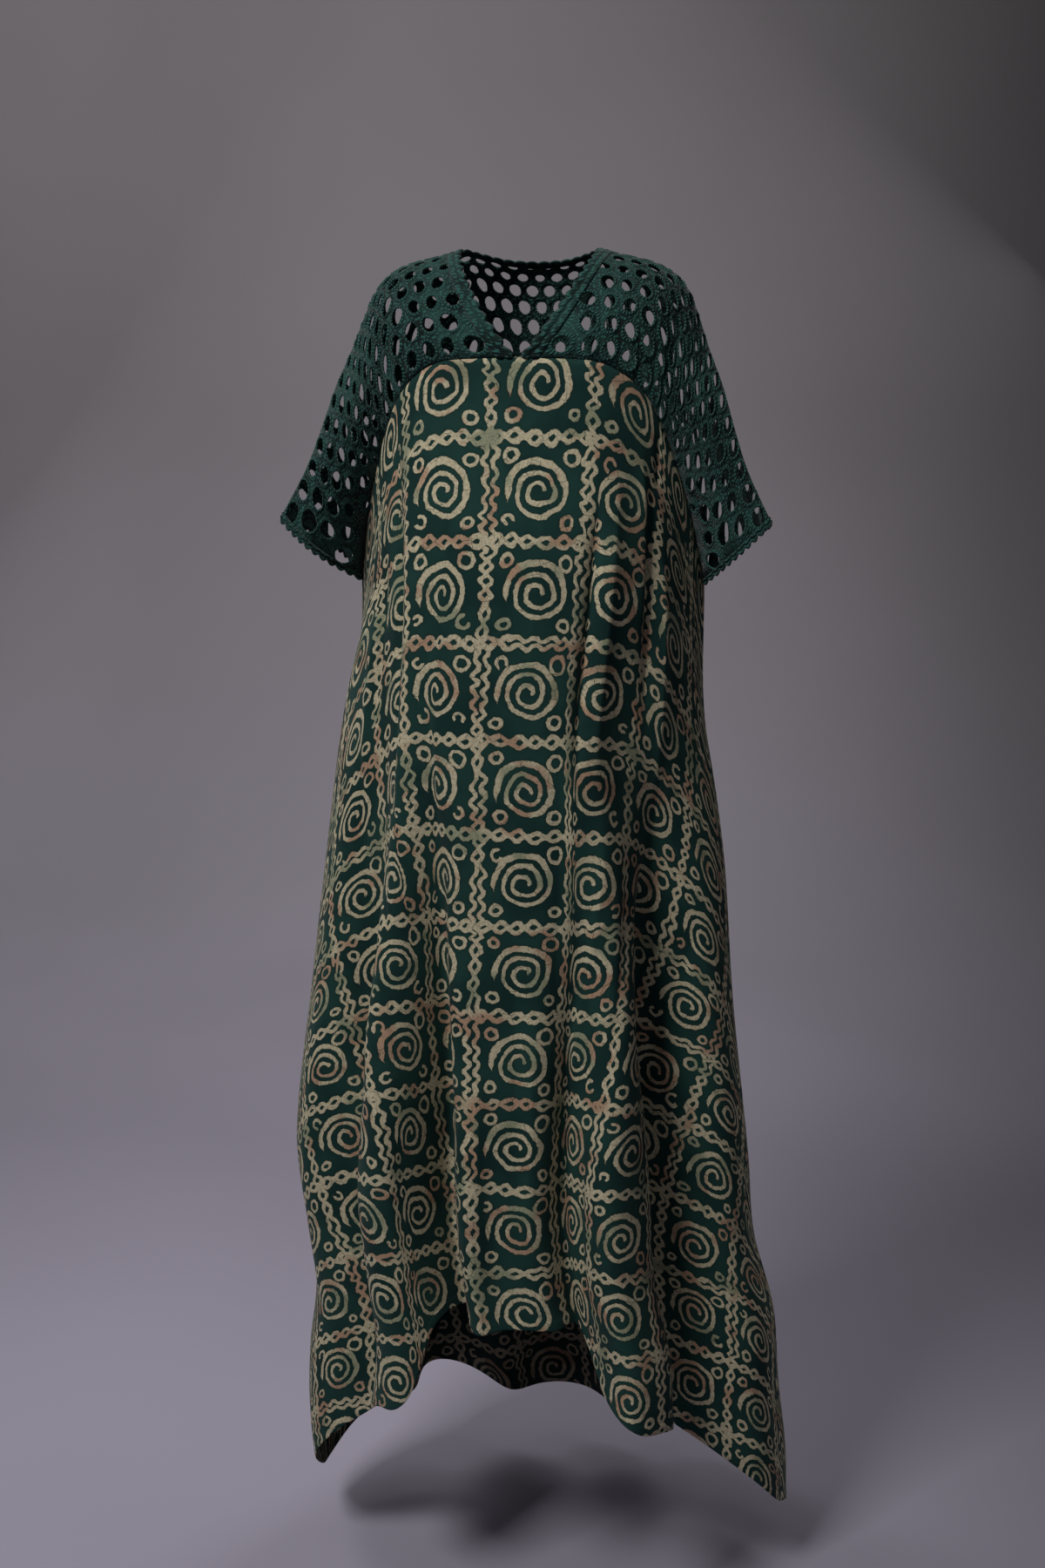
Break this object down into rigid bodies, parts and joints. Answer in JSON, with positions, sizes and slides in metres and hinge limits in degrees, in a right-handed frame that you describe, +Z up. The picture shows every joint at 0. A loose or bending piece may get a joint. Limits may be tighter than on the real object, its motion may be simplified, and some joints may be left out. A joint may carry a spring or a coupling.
{
  "type": "lace maxi dress",
  "caption": "Worn kaftan dress to the floor: lace yoke with short wide sleeves and a V neck, over hanging printed cotton panels that fall lower at the sides.",
  "frame": {"origin": "middle of the neck on the shoulder line, where the wearer's shoulders hold the dress up", "axes": "+Z up; the front faces -Y; the wearer's left is +X"},
  "size_m": [0.6391, 0.4674, 1.568],
  "materials": {
    "printed_cotton": "soft dull batik cotton, deep green with a beige print",
    "lace": "matt corded lace, green",
    "lace_edging": "matt corded band with a scalloped edge"
  },
  "bodies": {
    "root": {"front_panel": "printed_cotton", "back_panel": "printed_cotton", "lace_front_left": "lace", "lace_front_right": "lace", "lace_back": "lace", "neck_edging": "lace_edging", "cuff_edging_left": "lace_edging", "cuff_edging_right": "lace_edging"}
  },
  "joints": []
}
